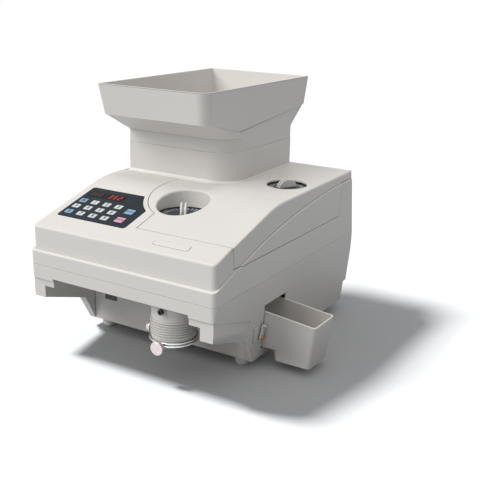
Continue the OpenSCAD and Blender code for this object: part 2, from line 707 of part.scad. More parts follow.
function ring_at(i) =
    let (t = unit(path[min(i + 1, len(path) - 1)] - path[max(i - 1, 0)]))
    let (s = unit(cross(t, [0, 0, 1])), u = cross(s, t))
    [for (k = [0:5]) path[i] + wire_d / 2 * (cos(60 * k) * s + sin(60 * k) * u)];
least = min([for (i = [0:len(path) - 1], j = [i + 14:1:len(path) - 1]) norm(path[i] - path[j])]) - wire_d;
module wound() {
    n = len(path);
    pts = [for (i = [0:n - 1]) each ring_at(i)];
    sides = [for (i = [0:n - 2], k = [0:5], h = [0, 1])
        let (a = 6 * i + k, b = 6 * i + (k + 1) % 6)
        h == 0 ? [a, a + 6, b + 6] : [a, b + 6, b]];
    polyhedron(pts, concat(sides, [[0, 1, 2, 3, 4, 5], [for (k = [5:-1:0]) 6 * (n - 1) + k]]));
}
module bag_clamp() color([0.8, 0.8, 0.8]) place() {
    echo(least_gap_of_the_wire = least);
    wound();
}
module clamp_discs() color([0.82, 0.72, 0.72]) place() {
    for (e = [[turns[0] - 7, wire_z - 1, 3.5], [turns[1] + 7, z_end - 4.5, 8.5]])
        translate([spout_c[0], spout_c[1], e[1]]) rotate([0, 0, e[0]]) translate([wire_r + e[2], 0, 0])
            rotate([0, 90, 0]) difference() {
                cylinder(r = thumb_r, h = thumb_t);
                translate([0, 0, -1]) cylinder(r = wire_d / 2 + 0.1, h = 5);
            }
}

module power_supply() color([0.6, 0.61, 0.6]) place() {
    box(-hw + 36, -hw + 96, 150, 270, floor_z, floor_z + 38);
    for (i = [0:4]) box(-hw + 40 + 11 * i, -hw + 46 + 11 * i, 156, 264, floor_z + 37, floor_z + 41);
}

module power_inlet() color([0.08, 0.08, 0.09]) place() {
    difference() {
        union() {
            box(-99.7, -72.3, body_d - 24, body_d - 1, 60.3, 79.7);
            box(-59.7, -42.3, body_d - 24, body_d - 1, 57.3, 82.7);
            box(-104, -38, body_d - 2, body_d - 0.4, 54.5, 85.5);
        }
        box(-97, -75, body_d - 19, body_d + 2, 63, 77);
        box(-57.8, -44.2, body_d - 22, body_d + 2, 58.8, 81.2);
    }
    for (x = [-93, -86, -79]) box(x - 1, x + 1, body_d - 20, body_d - 8, x == -86 ? 70 : 66, x == -86 ? 74 : 70);
    translate([-59, body_d - 12, 70]) rotate([0, 90, 0]) cylinder(r = 1.5, h = 16);
}

module power_switch() color([0.09, 0.09, 0.1]) place() {
    translate([-51, body_d - 8, 70]) difference() {
        along_x(-6.4, 6.4) polygon([[-8, -5], [-8, 5], [5, 8], [4.2, 0], [6.8, -8]]);
        translate([-10, -4, 0]) rotate([0, 90, 0]) cylinder(r = 1.55, h = 20);
    }
}

module hinge_pins() color([0.7, 0.7, 0.72]) place() {
    hinge_barrels(-16, 16, 1.95);
}

module wall_frame(y, z) {
    a = atan(side_draft / (seam_z - foot_h));
    translate([hw - (seam_z - z) * tan(a), y, z]) rotate([0, a, 0]) children();
}
module latch_plate() color([0.85, 0.85, 0.84]) place() {
    wall_frame(111, 54.5) {
        translate([0.05, -5, -11.5]) cube([1.3, 10, 23]);
    }
}
module latch_screw() color([0.72, 0.58, 0.32]) place() {
    wall_frame(123.5, 47) rotate([0, 90, 0]) {
        translate([0, 0, 0.05]) cylinder(r = 2.2, h = 5);
        translate([0, 0, 4.6]) cylinder(r = 3.8, h = 1.6);
    }
}
module bin_latch() color([0.78, 0.76, 0.72]) place() {
    wall_frame(123.5, 47) union() {
        translate([1.7, 0, 0]) rotate([90, 0, 90]) linear_extrude(2.6) difference() {
            union() {
                circle(r = 5);
                rotate(-14) translate([-4, 0]) square([7, 19]);
            }
            circle(r = 2.25);
        }
        rotate([-14, 0, 0]) translate([2.5, -3.8, 16.2]) cube([5.2, 6.6, 2.6]);
    }
}

module bin_outer(d) {
    t = d;
    y0 = bin_y + t;
    y1 = bin_y + bin_w - t;
    x1 = bin_x1 - t;
    zr = bin_z - rim_drop * bin_reach;
    out = 8 * (90.5 - zr) / (zr - 12);
    intersection() {
        union() {
            hull() {
                rounded_slab(hw + 5, x1 + out, y0, y1, 5, 90.5, 91);
                rounded_slab(hw + 11 + t, x1 - 8, y0 + 3.6, y1 - 3.6, 5, 11.5 + t, 12 + t);
            }
            hull() {
                rounded_slab(bin_x0 + t, hw + 40, y0, y1, 2, 90, 91);
                rounded_slab(bin_x0 + t, hw + 40, y0 + 1.2, y1 - 1.2, 2, 28 + t, 28.5 + t);
            }
        }
        along_y(bin_y - 5, bin_y + bin_w + 5) polygon([[bin_x0 - 1, 0], [bin_x1 + 1, 0],
            [bin_x1 + 1, bin_z - rim_drop * (bin_reach + 1) + (d > 0 ? 9 : 0)],
            [bin_x0 - 1, bin_z + rim_drop * (hw - bin_x0 + 1) + (d > 0 ? 9 : 0)]]);
    }
}
module reject_bin() color([0.87, 0.86, 0.84]) place() {
    difference() {
        bin_outer(0);
        bin_outer(bin_t);
    }
}

module lid() color([0.89, 0.88, 0.85]) place() {
    difference() {
        union() {
            intersection() {
                upper_shell();
                cover_space(0);
            }
            hopper_neck(0, roof_z - 2, joint_z);
            intersection() {
                post(dial_f[0], dial_f[1], dial_f_z + 1.2, 240, well_r + 2.5);
                upper_form(0.5, seam_z);
            }
            hinge_barrels(-5.6, 5.6, 4.5);
            for (x = [-95, 95]) box(x - 5.6, x + 5.6, body_d - 17.5, hinge_y, hinge_z + 2.4, hinge_z + 7.5);
        }
        hopper_neck(wall, 150, joint_z + 5);
        post(dial_f[0], dial_f[1], dial_f_z - 10, 300, well_r);
        post(dial_r[0], dial_r[1], 180, 300, recess_r);
        hinge_barrels(-20, 20, 2.05);
    }
}

module hopper_ring(g, r, z) {
    collar_slab(neck_x0 - 1.1 + g, neck_x0 + neck_w + rim_side - g, neck_y0 - rim_front + g,
        neck_y1 + rim_back - g, max(r - 14, 2), r, z - 0.5, z);
}
// Foot of the rim band, set in by g
module band_ring(g, z) {
    collar_slab(neck_x0 + 6.4 + g, neck_x0 + neck_w + 0.9 - g, neck_y0 - rim_front + 4.2 + g,
        neck_y1 + rim_back - 8 - g, max(5 - g, 2), 16 - g, z - 0.5, z);
}
module hopper_neck(g, z0, z1) {
    collar_slab(neck_x0 + g, neck_x0 + neck_w - g, neck_y0 + g, neck_y1 - g, max(neck_edge - g, 1.5), neck_r - g, z0, z1);
}
// Rim band, flare and neck as an outer form
module hopper_outside() {
    x1 = neck_x0 + neck_w;
    hull() {
        hopper_ring(0, 18, hopper_z);
        band_ring(0, band_z + 0.5);
        box(x1 - 20, x1 + 0.4, neck_y0 + 26.5, neck_y0 + 27, band_z - band_dip, band_z);
    }
    hull() {
        band_ring(1.4, band_z + 0.5);
        hopper_neck(0.5, flare_z - 0.5, flare_z);
    }
    hopper_neck(0.5, joint_z, flare_z);
}
module hopper_inside() {
    hull() {
        hopper_ring(hopper_t, 18 - hopper_t, hopper_z + 2.4);
        band_ring(hopper_t + 1.4, band_z + 2.9);
    }
    hull() {
        band_ring(hopper_t + 1.4, band_z + 2.9);
        hopper_neck(wall + 2.2, flare_z + 1.9, flare_z + 2.4);
    }
    hopper_neck(wall + 2.2, joint_z - 20, flare_z + 2.4);
}
module hopper() color([0.88, 0.87, 0.84]) place() {
    difference() {
        union() {
            hopper_outside();
            hopper_neck(wall + 0.3, joint_z - 12, joint_z + 4);
        }
        hopper_inside();
    }
}

module throat_funnel() color([0.82, 0.82, 0.8]) place() {
    difference() {
        union() {
            hull() {
                hopper_neck(wall + 0.3, roof_z - 6, roof_z - 5);
                post(disc_c[0], disc_c[1], deck_top + 9, deck_top + 9.5, disc_r + 3);
            }
            hopper_neck(wall + 0.3, roof_z - 6, joint_z - 14);
        }
        hull() {
            hopper_neck(wall + 2.3, roof_z - 5, roof_z - 4);
            post(disc_c[0], disc_c[1], deck_top + 8.5, deck_top + 9.5, disc_r + 1);
        }
        hopper_neck(wall + 2.3, roof_z - 5, joint_z);
    }
}

lower_housing();
base_tray();
feet();
upper_housing();
keypad_panel();
display_windows();
control_board();
deck_plate();
disc_bearing();
drive_motor();
drive_belt();
guide_rail();
transport_bridge();
transport_motor();
transport_belt();
count_sensor();
dial_brackets();
reject_chute();
coin_spout();
spout_screw();
power_supply();
power_inlet();
hinge_pins();
latch_plate();
latch_screw();
lid();
hopper();
throat_funnel();
diameter_dial();
diameter_grip();
coin_guide();
thickness_dial();
thickness_grip();
thickness_shoe();
feed_disc();
disc_shaft();
motor_pulley();
belt_pulley_front();
belt_pulley_rear();
for (k = KEYS) keycap(k);
release_button();
power_switch();
reject_bin();
bin_latch();
bag_clamp();
clamp_discs();
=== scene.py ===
import json
import math

import bmesh
import bpy
from mathutils import Matrix, Vector


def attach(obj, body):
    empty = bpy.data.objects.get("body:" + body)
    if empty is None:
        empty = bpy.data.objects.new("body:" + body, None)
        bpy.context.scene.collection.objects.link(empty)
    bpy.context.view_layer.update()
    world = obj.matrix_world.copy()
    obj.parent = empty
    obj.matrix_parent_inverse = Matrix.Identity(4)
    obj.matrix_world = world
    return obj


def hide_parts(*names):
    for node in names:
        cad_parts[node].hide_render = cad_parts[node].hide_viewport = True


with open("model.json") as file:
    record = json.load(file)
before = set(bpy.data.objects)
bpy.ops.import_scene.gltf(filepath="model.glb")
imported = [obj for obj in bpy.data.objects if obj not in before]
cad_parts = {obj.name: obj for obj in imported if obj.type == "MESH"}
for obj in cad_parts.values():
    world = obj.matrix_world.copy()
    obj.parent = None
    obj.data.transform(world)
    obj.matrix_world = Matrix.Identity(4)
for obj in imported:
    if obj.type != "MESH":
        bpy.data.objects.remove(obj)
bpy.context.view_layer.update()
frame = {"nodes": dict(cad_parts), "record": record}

# Sizes repeated from the part, in millimetres from the middle of the casing's front at floor level
SHIFT = Vector((-37.3, -221.15, 0.0))
MM = 1000.0
HALF = 155.0
DEPTH = 413.0
CORNER = 7.0
SEAM_Z = 131.0
LEDGE_SIDE = 2.6
LEDGE_FRONT = 4.5
REAR_LEAN = 14.0 / 102.06
SLOPE = math.radians(16.07)
SLOPE_Y = 5.0
RISE = math.radians(0.95)
FRONT_Z = 186.0
ROOF_Z = 229.0
KNEE_Y = SLOPE_Y + (ROOF_Z - FRONT_Z) / math.tan(SLOPE)
BEND = 200.0 * math.tan((SLOPE - RISE) / 2)
WELL = {"x": 19.5, "y": 126.0, "r": 37.5, "dial_z": 201.05}
RECESS = {"x": 108.0, "y": 264.0, "r": 30.0, "dial_z": 225.97}
COLLAR = {"x": (-142.6, 44.4), "y": (206.0, 394.0), "corners": (44.0, 5.0, 5.0, 5.0), "top": 275.05}


def at(x, y, z):
    return (Vector((x, y, z)) + SHIFT) / MM


def back(v):
    return v * MM - SHIFT


def slope_z(y):
    return FRONT_Z + (y - SLOPE_Y) * math.tan(SLOPE)


def roof_z(y):
    return ROOF_Z + (y - KNEE_Y) * math.tan(RISE)


def top_normal(y):
    first = KNEE_Y - BEND * math.cos(SLOPE)
    last = KNEE_Y + BEND * math.cos(RISE)
    share = min(max((y - first) / (last - first), 0.0), 1.0)
    fall = math.sin(SLOPE) + share * (math.sin(RISE) - math.sin(SLOPE))
    return Vector((0.0, -fall, math.sqrt(1.0 - fall * fall)))


def on_slope(x, y, lift):
    up = Vector((0.0, -math.sin(SLOPE), math.cos(SLOPE)))
    return at(x, y, slope_z(y)) + up * lift / MM


# Camera, fitted to the photographed view
def make_camera():
    az = math.radians(31.2)
    el = math.radians(17.4)
    roll = math.radians(1.2)
    eye = at(658.746, -775.751, 510.511)
    away = Vector((math.sin(az) * math.cos(el), -math.cos(az) * math.cos(el), math.sin(el)))
    side = Vector((math.cos(az), math.sin(az), 0.0))
    top = away.cross(side)
    right = side * math.cos(roll) + top * math.sin(roll)
    up = top * math.cos(roll) - side * math.sin(roll)
    cam = bpy.data.cameras.new("view_camera")
    cam.sensor_width = 36.0
    cam.lens = 61.1
    cam.clip_start = 0.05
    cam.clip_end = 50.0
    ob = bpy.data.objects.new("view_camera", cam)
    bpy.context.scene.collection.objects.link(ob)
    turn = Matrix((right, up, away)).transposed().to_4x4()
    ob.matrix_world = Matrix.Translation(eye) @ turn
    bpy.context.scene.camera = ob


make_camera()


# Shared effects, each one a node group
def new_group(name, inputs, outputs):
    group = bpy.data.node_groups.new(name, "ShaderNodeTree")
    for label, kind, value in inputs:
        sock = group.interface.new_socket(name=label, in_out="INPUT", socket_type=kind)
        sock.default_value = value
    for label, kind in outputs:
        group.interface.new_socket(name=label, in_out="OUTPUT", socket_type=kind)
    start = group.nodes.new("NodeGroupInput")
    end = group.nodes.new("NodeGroupOutput")
    return group, start, end


def maths(group, operation, *terms):
    node = group.nodes.new("ShaderNodeMath")
    node.operation = operation
    for socket, term in zip(node.inputs, terms):
        if isinstance(term, float):
            socket.default_value = term
        else:
            group.links.new(term, socket)
    return node.outputs[0]


def noise(group, vector, scale, detail):
    node = group.nodes.new("ShaderNodeTexNoise")
    node.inputs["Detail"].default_value = detail
    group.links.new(vector, node.inputs["Vector"])
    if isinstance(scale, float):
        node.inputs["Scale"].default_value = scale
    else:
        group.links.new(scale, node.inputs["Scale"])
    return node.outputs["Fac"]


# Share of the hollow side of a surface that is closed off, or of its solid side when inside is set
def closed_in(group, reach, inside):
    node = group.nodes.new("ShaderNodeAmbientOcclusion")
    node.inside = inside
    node.samples = 8
    node.inputs["Distance"].default_value = reach
    return maths(group, "SUBTRACT", 1.0, node.outputs["AO"])


def scaled(group, vector, factor):
    node = group.nodes.new("ShaderNodeVectorMath")
    node.operation = "SCALE"
    group.links.new(vector, node.inputs[0])
    group.links.new(factor, node.inputs["Scale"])
    return node.outputs["Vector"]


EFFECT_OUT = [("Colour", "NodeSocketColor"), ("Roughness", "NodeSocketFloat"), ("Height", "NodeSocketFloat")]
NOOK_REACH = 0.0024
RIM_REACH = 0.0012


# Grain and random mottle of the moulding, with painted shade darkening crevices and seams and a painted
# highlight lightening convex edges
def make_grain_with_painted_shade():
    inputs = [
        ("Colour", "NodeSocketColor", (0.8, 0.8, 0.8, 1.0)),
        ("Grain Scale", "NodeSocketFloat", 1500.0),
        ("Mottle", "NodeSocketFloat", 0.03),
        ("Painted Crevice Shade", "NodeSocketFloat", 0.5),
        ("Painted Edge Highlight", "NodeSocketFloat", 0.0),
        ("Roughness", "NodeSocketFloat", 0.5),
    ]
    group, start, end = new_group("grain_with_painted_shade", inputs, EFFECT_OUT)
    given = start.outputs
    place = group.nodes.new("ShaderNodeTexCoord").outputs["Object"]
    fine = noise(group, place, given["Grain Scale"], 3.0)
    wide = noise(group, place, 22.0, 4.0)
    level = maths(group, "MULTIPLY_ADD", maths(group, "SUBTRACT", wide, 0.5), given["Mottle"], 1.0)
    # Painted shade: darker where the surface is closed off within NOOK_REACH
    lost = maths(group, "MULTIPLY", closed_in(group, NOOK_REACH, False), given["Painted Crevice Shade"])
    kept = maths(group, "SUBTRACT", 1.0, lost)
    # Painted highlight: convex edges made lighter where the solid is thin within RIM_REACH
    shade_and_highlight = maths(group, "MULTIPLY_ADD", closed_in(group, RIM_REACH, True), given["Painted Edge Highlight"], kept)
    tint = scaled(group, given["Colour"], maths(group, "MULTIPLY", level, shade_and_highlight))
    group.links.new(tint, end.inputs["Colour"])
    group.links.new(maths(group, "MULTIPLY_ADD", wide, 0.12, given["Roughness"]), end.inputs["Roughness"])
    group.links.new(fine, end.inputs["Height"])
    return group


def make_drawn_metal():
    inputs = [
        ("Colour", "NodeSocketColor", (0.7, 0.7, 0.7, 1.0)),
        ("Stretch", "NodeSocketVector", (60.0, 1200.0, 1200.0)),
        ("Roughness", "NodeSocketFloat", 0.25),
    ]
    group, start, end = new_group("drawn_metal", inputs, EFFECT_OUT)
    given = start.outputs
    place = group.nodes.new("ShaderNodeTexCoord").outputs["Object"]
    pull = group.nodes.new("ShaderNodeVectorMath")
    pull.operation = "MULTIPLY"
    group.links.new(place, pull.inputs[0])
    group.links.new(given["Stretch"], pull.inputs[1])
    lines = noise(group, pull.outputs["Vector"], 1.0, 2.0)
    tint = scaled(group, given["Colour"], maths(group, "MULTIPLY_ADD", lines, 0.16, 0.92))
    group.links.new(tint, end.inputs["Colour"])
    group.links.new(maths(group, "MULTIPLY_ADD", lines, 0.15, given["Roughness"]), end.inputs["Roughness"])
    group.links.new(lines, end.inputs["Height"])
    return group


MOULDED = make_grain_with_painted_shade()
DRAWN = make_drawn_metal()
BUMP_DEPTH = 0.0001


def surface(name, group, colour, roughness, bump, settings, metallic=0.0, shine=0.5, emission=None):
    mat = bpy.data.materials.new(name)
    mat.use_nodes = True
    nodes = mat.node_tree.nodes
    link = mat.node_tree.links.new
    shader = nodes["Principled BSDF"]
    effect = nodes.new("ShaderNodeGroup")
    effect.node_tree = group
    effect.inputs["Colour"].default_value = (*colour, 1.0)
    effect.inputs["Roughness"].default_value = roughness
    for label, value in settings.items():
        effect.inputs[label].default_value = value
    link(effect.outputs["Colour"], shader.inputs["Base Color"])
    link(effect.outputs["Roughness"], shader.inputs["Roughness"])
    bumps = nodes.new("ShaderNodeBump")
    bumps.inputs["Strength"].default_value = bump
    bumps.inputs["Distance"].default_value = BUMP_DEPTH
    link(effect.outputs["Height"], bumps.inputs["Height"])
    link(bumps.outputs["Normal"], shader.inputs["Normal"])
    shader.inputs["Metallic"].default_value = metallic
    shader.inputs["Specular IOR Level"].default_value = shine
    if emission is not None:
        shader.inputs["Emission Color"].default_value = (*emission[0], 1.0)
        shader.inputs["Emission Strength"].default_value = emission[1]
    return mat


# Every plastic gets the painted crevice shade; edge sets how much painted highlight its convex edges get
def plastic(name, colour, roughness=0.42, bump=0.22, scale=1500.0, mottle=0.03, edge=0.0, **more):
    settings = {"Grain Scale": scale, "Mottle": mottle, "Painted Crevice Shade": 0.6, "Painted Edge Highlight": edge}
    return surface(name, MOULDED, colour, roughness, bump, settings, **more)


def metal(name, colour, roughness=0.22, stretch=(60.0, 1200.0, 1200.0), metallic=1.0):
    return surface(name, DRAWN, colour, roughness, 0.12, {"Stretch": stretch}, metallic=metallic)


FINISH = {
    # The casing's convex edges carry a painted highlight
    "casing": plastic("casing_off_white", (0.74, 0.72, 0.695), edge=0.3, shine=0.3),
    "casing_inner": plastic("casing_inner_off_white", (0.72, 0.70, 0.67), mottle=0.05),
    "foot": plastic("foot_pale", (0.70, 0.69, 0.66), roughness=0.55),
    "panel": plastic(
        "panel_slate_film", (0.021, 0.029, 0.038),
        roughness=0.5, bump=0.1, scale=2400.0, mottle=0.1, shine=0.1,
    ),
    "display": plastic("display_window_dark", (0.012, 0.007, 0.008), roughness=0.3, bump=0.02, shine=0.06),
    "key_white": plastic("key_white", (0.64, 0.67, 0.69), roughness=0.45, bump=0.1),
    "key_blue": plastic("key_light_blue", (0.24, 0.42, 0.60), roughness=0.45, bump=0.1),
    "key_pink": plastic("key_pink", (0.74, 0.37, 0.52), roughness=0.45, bump=0.1),
    "board": plastic("board_green", (0.02, 0.10, 0.04), roughness=0.4, bump=0.1),
    "steel": metal("steel_sheet", (0.55, 0.56, 0.57), 0.3),
    "bright": metal("turned_metal", (0.68, 0.68, 0.70), 0.2),
    "motor": plastic("motor_dark_paint", (0.07, 0.075, 0.085), roughness=0.35, mottle=0.1),
    "belt": plastic("belt_rubber", (0.015, 0.015, 0.017), roughness=0.6, bump=0.4, scale=900.0, mottle=0.2),
    "black": plastic("black_plastic", (0.012, 0.012, 0.014), roughness=0.35, bump=0.15, mottle=0.1),
    "dial": plastic("dial_dark", (0.028, 0.035, 0.045), roughness=0.45, bump=0.15, mottle=0.1),
    "grip": plastic("grip_pale", (0.74, 0.74, 0.72), roughness=0.35, bump=0.1),
    "chrome": metal("chromed_wire", (0.80, 0.80, 0.80), 0.06, (400.0, 400.0, 400.0)),
    "thumb": metal("thumb_disc_metal", (0.80, 0.73, 0.73), 0.2, (500.0, 500.0, 500.0), 0.6),
    "brass": metal("brass_screw_metal", (0.62, 0.42, 0.16), 0.2, (700.0, 700.0, 700.0)),
}
LEGEND = plastic("legend_ink", (0.05, 0.06, 0.09), roughness=0.5, bump=0.05)
MARK = plastic("white_ink", (0.72, 0.74, 0.76), roughness=0.5, bump=0.05)
GLOW = ((1.0, 0.03, 0.03), 0.3)
DIGIT = plastic("display_red", (0.45, 0.01, 0.015), roughness=0.3, bump=0.02, emission=GLOW)
DIM = plastic("display_dim_red", (0.028, 0.009, 0.011), roughness=0.3, bump=0.02)
SHADE = plastic("crease_shade", (0.20, 0.19, 0.17), roughness=0.6, bump=0.05)
SLOT = plastic("tray_slot_green", (0.035, 0.05, 0.042), roughness=0.4, bump=0.05)
# Near black, for the panel's dark marks and for painted shade in the joints
GLOOM = plastic("dark_marks_and_painted_shade", (0.01, 0.01, 0.011), roughness=0.6, bump=0.05)

slots = {p["node"]: p["material_slot"] for p in frame["record"]["subparts"]}
body_of = {n: b for b, ns in frame["record"]["behaviour"]["bodies"].items() for n in ns}


def dress(ob, mat):
    ob.data.materials.clear()
    ob.data.materials.append(mat)


for name, ob in frame["nodes"].items():
    dress(ob, FINISH[slots[name]])


# Rounded copies of the moulded pieces; edges that bend less than SHARP stay as they are
SHARP = math.radians(20)
SMOOTH = math.radians(28)
COPLANAR = math.radians(0.6)


def crease_radius(edge, rule):
    if len(edge.link_faces) != 2 or edge.calc_face_angle(0.0) < SHARP:
        return 0.0
    mid = back((edge.verts[0].co + edge.verts[1].co) / 2)
    a, b = (f.normal for f in edge.link_faces)
    return rule(mid, a, b, edge.is_convex)


def rounded(node, rule, segments=3, trim=None):
    mesh = frame["nodes"][node].data.copy()
    bm = bmesh.new()
    bm.from_mesh(mesh)
    bmesh.ops.remove_doubles(bm, verts=bm.verts, dist=2e-6)
    bmesh.ops.dissolve_limit(bm, angle_limit=COPLANAR, verts=bm.verts, edges=bm.edges)
    if trim is not None:
        trim(bm)
    bmesh.ops.connect_verts_concave(bm, faces=bm.faces)
    bm.normal_update()
    layer = bm.edges.layers.float.new("bevel_weight_edge")
    sizes = [(e, crease_radius(e, rule)) for e in bm.edges]
    most = max([size for _, size in sizes] + [0.1])
    for e, size in sizes:
        e[layer] = size / most
        e.smooth = size > 0.0 or e.calc_face_angle(0.0) < SMOOTH
    for f in bm.faces:
        f.smooth = True
    bm.to_mesh(mesh)
    bm.free()
    ob = bpy.data.objects.new(node + "_moulded", mesh)
    bpy.context.scene.collection.objects.link(ob)
    bevel = ob.modifiers.new("soft_edges", "BEVEL")
    bevel.limit_method = "WEIGHT"
    bevel.width = most / MM
    bevel.segments = segments
    bevel.use_clamp_overlap = False
    bevel.loop_slide = False
    normals = ob.modifiers.new("even_shading", "WEIGHTED_NORMAL")
    normals.keep_sharp = True
    normals.weight = 60
    dress(ob, FINISH[slots[node]])
    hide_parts(node)
    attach(ob, body_of[node])
    return ob


def facing_up(a, b):
    return max(a.z, b.z) > 0.75


def upright(a, b):
    return min(abs(a.z), abs(b.z)) < 0.35


def ledge_at(y):
    if y <= 128.0:
        return 150.4 + 0.2945 * y
    s = y - 128.0
    return 188.1 + 0.2275 * s - 0.000395 * s * s


# Distance of a point inside the casing's rounded outline, given by its half width, front and rear
def inside_by(mid, half, front, rear):
    cx = max(abs(mid.x) - half + CORNER, 0.0)
    cy = max(front + CORNER - mid.y, mid.y - rear + CORNER, 0.0)
    if cx == 0.0 and cy == 0.0:
        return CORNER
    return CORNER - math.hypot(cx, cy)


def rear_at(z):
    return DEPTH - REAR_LEAN * (z - SEAM_Z)


def on_ledge(mid):
    return abs(mid.z - ledge_at(mid.y)) < 1.2


def on_rim(mid, hole):
    return abs(math.hypot(mid.x - hole["x"], mid.y - hole["y"]) - hole["r"]) < 1.0


def upper_rule(mid, a, b, convex):
    if mid.z < SEAM_Z + 0.5:
        outer = inside_by(mid, HALF, 0.0, DEPTH) < 1.0
        return 0.8 if outer and convex else 0.0
    if not (facing_up(a, b) and upright(a, b)):
        return 0.0
    rear = rear_at(mid.z)
    on_upper = inside_by(mid, HALF - LEDGE_SIDE, LEDGE_FRONT, rear - 0.5) < 0.6
    if on_ledge(mid) and inside_by(mid, HALF, 0.0, rear) < 0.6:
        return 1.0 if convex else 0.0
    if on_ledge(mid) and not convex:
        return 0.3 if on_upper else 0.0
    if convex and on_upper:
        return 3.0
    return 0.5 if convex else 0.0


def lid_rule(mid, a, b, convex):
    if not convex or not (facing_up(a, b) and upright(a, b)):
        return 0.0
    if mid.z > COLLAR["top"] - 13.05 or mid.y > COLLAR["y"][1] - 10.0:
        return 0.6
    if on_ledge(mid) and mid.x > HALF - 3.0:
        return 0.5
    if mid.x > HALF - 3.4 or on_rim(mid, WELL):
        return 3.0
    return 1.4 if on_rim(mid, RECESS) else 0.5


def lower_rule(mid, a, b, convex):
    if mid.z > SEAM_Z - 0.5 or not convex:
        return 0.0
    doorway = mid.y > 100 and mid.x > 120 and 20 < mid.z < 95
    if doorway:
        return 0.5
    return 0.7 if mid.y < 8 else 0.0


def hopper_rule(mid, a, b, convex):
    return 1.0 if convex and mid.z > 366 else 0.0


def even_edges(size):
    def rule(mid, a, b, convex):
        return size if convex else 0.0
    return rule


# Cut through the given faces, square to the width
def cut_across(bm, faces, x):
    edges = list({e for f in faces for e in f.edges})
    corners = list({v for f in faces for v in f.verts})
    geom = list(faces) + edges + corners
    bmesh.ops.bisect_plane(bm, geom=geom, dist=3e-5, plane_co=at(x, 0, 0), plane_no=(1, 0, 0))


# Sides of the reject bin, where the drawer's end is brought flush with the bucket's draft
BIN = {"mid": 161.55, "half": 29.58, "at_z": 78.01, "draft": 0.0457, "wall": 2.5}
DRAWER = {"from": 172.0, "corner": 192.5, "end": 196.0, "floor": 28.0}


def near_drawer(bm, first, last):
    spots = [(v, back(v.co)) for v in bm.verts]
    return [v for v, spot in spots if first < spot.x < last and spot.z > DRAWER["floor"] - 1.0]


def flush_sides(bm):
    cut_across(bm, [f for f in bm.faces if abs(f.normal.y) > 0.9], DRAWER["from"])
    for v in near_drawer(bm, DRAWER["from"] - 0.1, DRAWER["end"]):
        spot = back(v.co)
        if spot.z < DRAWER["floor"] - 0.1:
            continue
        side = spot.y - BIN["mid"]
        face = BIN["half"] - BIN["draft"] * (BIN["at_z"] - spot.z)
        inner = face - BIN["wall"]
        if face + 0.005 < abs(side) < face + 2.0:
            v.co = at(spot.x, BIN["mid"] + math.copysign(face, side), spot.z)
        elif inner + 0.005 < abs(side) < inner + 1.8:
            v.co = at(spot.x, BIN["mid"] + math.copysign(inner, side), spot.z)
    bmesh.ops.remove_doubles(bm, verts=near_drawer(bm, DRAWER["corner"], DRAWER["end"]), dist=2.2e-4)
    bmesh.ops.dissolve_degenerate(bm, dist=5e-5, edges=bm.edges)
    bm.normal_update()
    near = near_drawer(bm, DRAWER["from"] - 1.0, DRAWER["end"] + 1.0)
    links = list({e for v in near for e in v.link_edges})
    bmesh.ops.dissolve_limit(bm, angle_limit=math.radians(2.5), verts=near, edges=links)


# Bands of the bend behind the front well, cut square to its rim so that its edge rounds evenly
def on_top(face):
    mid = back(face.calc_center_median())
    return face.normal.z > 0.9 and 140.0 < mid.y < 182.0 and mid.z > 222.0


def behind_well(bm):
    cx, cy = WELL["x"], WELL["y"]
    first = cy + 26.0
    reach = WELL["r"] + 8.0
    spots = [back(v.co) for v in bm.verts]
    rim = [v for v in spots if abs(math.hypot(v.x - cx, v.y - cy) - WELL["r"]) < 0.1]
    cuts = [cx - reach, cx + reach]
    for x in (v.x for v in rim if v.y > first and v.z > 220.0):
        if min(abs(x - done) for done in cuts) > 0.05:
            cuts.append(x)
    for x in cuts:
        cut_across(bm, [f for f in bm.faces if on_top(f)], x)
    bands = []
    for e in bm.edges:
        a, b = (back(v.co) for v in e.verts)
        if abs(a.y - b.y) > 0.1 or not all(on_top(f) for f in e.link_faces):
            continue
        if first < a.y < cy + reach and max(abs(a.x - cx), abs(b.x - cx)) < reach + 0.1:
            bands.append(e)
    bmesh.ops.dissolve_edges(bm, edges=bands, use_verts=True)


# Normals of the smooth top taken from its own profile
def even_top(ob):
    view = bpy.context.evaluated_depsgraph_get()
    mesh = bpy.data.meshes.new_from_object(ob.evaluated_get(view), depsgraph=view)
    normals = [Vector(n.vector) for n in mesh.corner_normals]
    for face in mesh.polygons:
        if face.normal.dot(top_normal(back(face.center).y)) < math.cos(math.radians(3.0)):
            continue
        for k in face.loop_indices:
            corner = mesh.vertices[mesh.loops[k].vertex_index].co
            normals[k] = top_normal(back(corner).y)
    mesh.normals_split_custom_set(normals)
    ob.modifiers.clear()
    ob.data = mesh


even_top(rounded("upper_housing", upper_rule))
even_top(rounded("lid", lid_rule, trim=behind_well))
rounded("lower_housing", lower_rule)
rounded("hopper", hopper_rule)
rounded("reject_bin", even_edges(0.6), trim=flush_sides)
for key in [n for n in frame["nodes"] if n.startswith("key_")]:
    rounded(key, even_edges(0.35), 2)
SMALL = {
    "release_button": 0.5, "diameter_grip": 0.8, "thickness_grip": 0.8, "diameter_dial": 0.3,
    "thickness_dial": 0.3, "clamp_discs": 0.8, "latch_plate": 0.3, "bin_latch": 0.5, "latch_screw": 0.4,
    "spout_screw": 0.4, "feet": 1.0, "coin_spout": 0.4, "power_switch": 0.4, "keypad_panel": 0.15,
    "base_tray": 0.6,
}
for node, size in SMALL.items():
    rounded(node, even_edges(size), 2)


